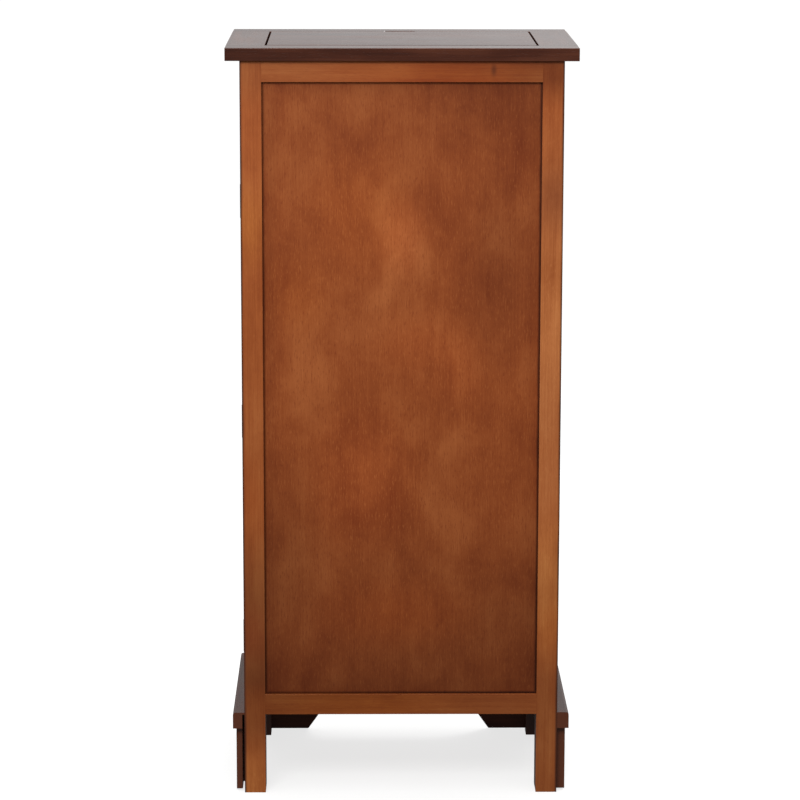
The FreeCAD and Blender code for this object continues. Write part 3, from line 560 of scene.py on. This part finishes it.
def skinned(rings):
    """A closed shape over rings of points, each ring joined to the next and both ends capped."""
    shape = bmesh.new()
    rings = [[shape.verts.new(point) for point in ring] for ring in rings]
    for first, second in zip(rings, rings[1:]):
        for step in range(len(first)):
            following = (step + 1) % len(first)
            shape.faces.new((first[step], first[following], second[following], second[step]))
    shape.faces.new(rings[0])
    shape.faces.new(rings[-1])
    bmesh.ops.recalc_face_normals(shape, faces=shape.faces)
    return shape


def ring(centre, across, up, radius, steps):
    """Points of a circle round a centre, in the plane of two directions."""
    angles = [2 * math.pi * step / steps for step in range(steps)]
    return [centre + radius * (math.cos(angle) * across + math.sin(angle) * up) for angle in angles]


X_AXIS, Y_AXIS, Z_AXIS = Vector((1, 0, 0)), Vector((0, 1, 0)), Vector((0, 0, 1))


def lathe(profile, centre, steps=40):
    """A shape turned about the Y axis: profile holds (radius, y) pairs from one end to the other."""
    return skinned([ring(Vector((centre.x, along, centre.z)), X_AXIS, Z_AXIS, radius, steps)
                    for radius, along in profile])


def knobs(node):
    """A pair of turned knobs: a foot, a neck and a mushroom head with a raised rim."""
    low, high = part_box(node)
    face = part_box("front_bottom_rail")[0].y
    tip = low.y
    middle = (low.z + high.z) / 2
    head = (high.z - low.z) / 2
    reach = face - tip
    profile = [(2.0 * MM, face + 9.9 * MM), (2.0 * MM, face), (6.5 * MM, face), (6.6 * MM, face - 1.0 * MM),
               (6.0 * MM, face - 2.0 * MM), (4.6 * MM, face - 3.0 * MM), (3.8 * MM, face - 4.6 * MM),
               (3.6 * MM, face - 6.5 * MM), (4.2 * MM, face - 8.6 * MM), (6.2 * MM, face - 10.6 * MM),
               (8.2 * MM, face - 12.0 * MM), (head, face - 13.8 * MM), (head, face - 15.4 * MM),
               (head - 0.7 * MM, face - 17.0 * MM), (head - 1.9 * MM, face - 17.9 * MM),
               (head - 2.6 * MM, face - 17.8 * MM), (head - 3.0 * MM, face - 18.4 * MM),
               (4.2 * MM, face - reach * 0.93), (2.2 * MM, face - reach * 0.985), (0.4 * MM, tip)]
    for word, side in (("left", -1), ("right", 1)):
        centre = Vector((side * (high.x - head), 0, middle))
        made = piece(f"{node}_{word}", lathe(profile, centre), node, [BRONZE])
        made.data.set_sharp_from_angle(angle=math.radians(50))


def islands(node):
    """The low and high corners of each part of a node whose faces share no point with another part's."""
    mesh = frame["nodes"][node].data
    steps = MICRONS / 10
    groups = []
    for polygon in mesh.polygons:
        corners = set(corners_of(mesh, polygon, steps))
        met = [group for group in groups if group & corners]
        groups = [group for group in groups if not group & corners] + [corners.union(*met)]
    parts = [[corner / steps for corner in extent(group)] for group in groups]
    return sorted(parts, key=lambda part: tuple(part[0]))


def hook(strip_face, middle, inward):
    """A bent hook on a small round plate: its shank runs away from the strip and its tip turns up.

    A step of its path is (reach from the strip, height, turn upwards, radius), lengths in millimetres.
    """
    path = [(0.0, 0.0, 0, 2.5), (0.8, 0.0, 0, 2.5), (1.3, 0.0, 0, 2.0), (2.2, 0.0, 0, 1.5)]
    path += [(14.5 + 3.5 * math.sin(turn), 3.5 - 3.5 * math.cos(turn), turn, 1.5)
             for turn in [math.pi / 2 * step / 8 for step in range(9)]]
    path += [(18.0, height, math.pi / 2, radius) for height, radius in (
        (6.6, 1.2), (7.2, 1.4), (7.8, 1.5), (8.3, 1.35), (8.7, 1.0), (8.95, 0.5), (9.0, 0.05))]
    rings = []
    for reach, height, turn, radius in path:
        centre = Vector((strip_face + inward * reach * MM, middle.y, middle.z + height * MM))
        up = Vector((-inward * math.sin(turn), 0.0, math.cos(turn)))
        rings.append(ring(centre, Y_AXIS, up, radius * MM, 20))
    return skinned(rings)


def hook_rail(node):
    """A wooden strip on the inside of a door, with bronze hooks along it."""
    parts = islands(node)
    strip_low, strip_high = max(parts, key=lambda part: part[1].y - part[0].y)
    inward = -1 if strip_low.x > 0 else 1
    strip_face = strip_high.x if inward > 0 else strip_low.x
    materials = [wood("espresso_wood", "y"), wood("espresso_wood", "y", "worn_and_highlit")]
    strip = piece(f"{node}_strip", block(strip_low, strip_high), node, materials)
    ease(strip, 0.8 * MM)
    hooks = [part for part in parts if part[0] != strip_low]
    for number, (low, high) in enumerate(hooks, start=1):
        middle = Vector((0.0, (low.y + high.y) / 2, (strip_low.z + strip_high.z) / 2))
        made = piece(f"{node}_{number}", hook(strip_face, middle, inward), node, [BRONZE])
        made.data.set_sharp_from_angle(angle=math.radians(50))


def swollen_pad(low, high):
    """A thin stuffed pad: its top swells from rolled edges, in the low waves that stuffing leaves."""
    shape = bmesh.new()
    bmesh.ops.create_grid(shape, x_segments=48, y_segments=40, size=0.5)
    rim = [edge for edge in shape.edges if edge.is_boundary]
    roll = 9.0 * MM
    for vertex in shape.verts:
        x, y = [low[i] + (0.5 + 0.5 * math.sin(math.pi * vertex.co[i])) * (high[i] - low[i]) for i in (0, 1)]
        inside = min(x - low.x, high.x - x, y - low.y, high.y - y)
        swell = 1.0 - (1.0 - min(inside / roll, 1.0)) ** 3
        wave = 0.9 + 0.05 * math.sin(70.0 * x + 0.6) + 0.05 * math.sin(85.0 * y + 1.3)
        vertex.co = (x, y, low.z + (high.z - low.z) * (0.35 + 0.65 * swell * wave))
    walls = bmesh.ops.extrude_edge_only(shape, edges=rim)["geom"]
    for vertex in walls:
        if isinstance(vertex, bmesh.types.BMVert):
            vertex.co.z = low.z
    foot = [part for part in walls if isinstance(part, bmesh.types.BMEdge) and part.is_boundary]
    bmesh.ops.holes_fill(shape, edges=foot)
    bmesh.ops.recalc_face_normals(shape, faces=shape.faces)
    return shape


def velvet_boards(node):
    """Velvet-covered boards with soft edges, and stuffed pads where they lie flat: one piece for each."""
    solids = solids_of(node)
    for number, faces in enumerate(solids, start=1):
        shape = welded(faces)
        low, high = extent(vertex.co for vertex in shape.verts)
        name = f"{node}_pad" if len(solids) == 1 else f"{node}_pad_{number}"
        flat = high.z - low.z < 5.0 * MM
        if flat:
            shape.free()
            shape = swollen_pad(low, high)
        made = piece(name, shape, node, [VELVET])
        if flat:
            made.data.set_sharp_from_angle(angle=math.radians(60))
        else:
            ease(made, 1.7 * MM, 5)


def ring_rolls(node):
    """Foam rolls covered in velvet, with rounded ends."""
    for number, faces in enumerate(solids_of(node), start=1):
        low, high = [corner / MICRONS for corner in extent(corner for face in faces for corner in face)]
        middle = (low + high) / 2
        radius = (high.z - low.z) / 2
        ends = ((0.0, 0.55), (0.5, 0.8), (1.6, 0.94), (3.4, 1.0))
        profile = [(low.x + inset * MM, share) for inset, share in ends]
        profile += [(high.x - inset * MM, share) for inset, share in reversed(ends)]
        shape = skinned([ring(Vector((x, middle.y, middle.z)), Y_AXIS, Z_AXIS, radius * share, 32)
                         for x, share in profile])
        made = piece(f"ring_roll_{number}", shape, node, [VELVET])


# ---------------------------------------------------------------- the armoire

for node in ("rear_post_left", "rear_post_right", "rear_rails"):
    boards(node, 0.4 * MM)
for node in ("back_panel", "case_floor", "tray_floor",
             "side_bottom_rails", "tray_sides", "bay_walls", "front_bottom_rail", "drawer_rails",
             "drawer_runners", "front_post_left", "front_post_right", "top_rear_board",
             "top_front_board", "top_ends", "lid_panel", "lid_mirror_frame", "moulding_front",
             "side_mouldings", "skirt_front", "side_skirts", "door_left_frame", "door_right_frame",
             "door_left_panel", "door_right_panel"):
    boards(node)
for number in range(1, 6):
    boards(f"drawer_{number}_box")
    routed_front(f"drawer_{number}_front")
    knobs(f"drawer_{number}_knobs")
    velvet_boards(f"drawer_{number}_lining")
routed_front("tray_front")
knobs("tray_knobs")
velvet_boards("tray_lining")
ring_rolls("ring_rolls")

ease(piece("lid_mirror_glass", block(*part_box("lid_mirror")), "lid_mirror", [MIRROR]), 1.2 * MM, 1)

for node in ("door_left_hooks", "door_right_hooks"):
    hook_rail(node)
for node in ("lid_pivot_pins", "post_hinge_leaves", "door_left_hinge_leaves", "door_right_hinge_leaves"):
    frame["nodes"][node].data.materials[0] = BRONZE
frame["nodes"]["door_magnets"].data.materials[0] = NICKEL


# ---------------------------------------------------------------- floor, light and camera

def floor():
    """A pale floor for the shadow, unseen by reflections and bounced light."""
    shape = bmesh.new()
    bmesh.ops.create_grid(shape, x_segments=1, y_segments=1, size=30.0)
    shader = Shader("pale_floor")
    speck = shader.noise(shader.place(), (3.0, 3.0, 3.0), 2.0)
    shader.set(Base_Color=shader.ramp(speck, [(0.3, (0.33, 0.33, 0.326)), (0.7, (0.35, 0.35, 0.346))]),
               Roughness=0.9, Specular_IOR_Level=0.1, Emission_Color=(1.0, 1.0, 1.0, 1.0),
               Emission_Strength=0.75)
    made = mesh_object("studio_floor", shape, [shader.material])
    made.visible_glossy = False
    made.visible_diffuse = False


def studio_sky():
    """White to the camera; to the armoire a dome that is bright overhead and, lower, on its front side."""
    world = bpy.data.worlds.new("studio")
    bpy.context.scene.world = world
    world.use_nodes = True
    sky = Nodes(world.node_tree)
    across, ahead, up = sky.split(sky.add("ShaderNodeTexCoord").outputs["Generated"])
    front = sky.span(across, -0.15, 0.15, 0.96, 0.7)
    horizon = sky.span(ahead, -0.6, 0.6, front, 0.3)
    upper = sky.span(up, 0.35, 0.95, horizon, 1.35)
    whole = sky.span(up, -0.1, 0.12, 0.22, upper)
    seen = sky.span(sky.add("ShaderNodeLightPath").outputs["Is Camera Ray"], 0.0, 1.0, whole, 1.0)
    background = sky.add("ShaderNodeBackground")
    sky.feed(background.inputs["Strength"], seen)
    sky.feed(sky.add("ShaderNodeOutputWorld").inputs[0], background.outputs[0])


def softbox(name, place, aim, size, power):
    data = bpy.data.lights.new(name, "AREA")
    data.shape = "RECTANGLE"
    data.size, data.size_y = size
    data.energy = power
    light = in_scene(name, data)
    light.location = place
    light.rotation_mode = "QUATERNION"
    light.rotation_quaternion = (Vector(aim) - Vector(place)).to_track_quat("-Z", "Y")


def camera():
    """Behind the armoire, above it and a little to its right, turned towards its middle."""
    rear_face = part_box("rear_post_right")[1].y
    aside = 0.0522
    distance = 4.112
    height = 1.3585
    pitch = 0.1948
    yaw = 0.0122
    roll = 0.0019
    data = bpy.data.cameras.new("photo_view")
    data.sensor_width = 36.0
    data.lens = 141.3
    made = in_scene("photo_view", data)
    made.location = (aside, rear_face + distance, height)
    forward = Vector((-math.sin(yaw) * math.cos(pitch), -math.cos(yaw) * math.cos(pitch), -math.sin(pitch)))
    made.rotation_mode = "QUATERNION"
    made.rotation_quaternion = forward.to_track_quat("-Z", "Y") @ Quaternion((0.0, 0.0, 1.0), roll)
    bpy.context.scene.camera = made


floor()
studio_sky()
softbox("key_behind", (0.5, 2.2, 2.2), (0, 0.1, 0.8), (1.4, 1.0), 40.0)
softbox("key_front", (-1.2, -2.4, 2.4), (0, -0.1, 0.6), (1.4, 1.0), 40.0)
camera()
bpy.context.scene.view_settings.view_transform = "Standard"
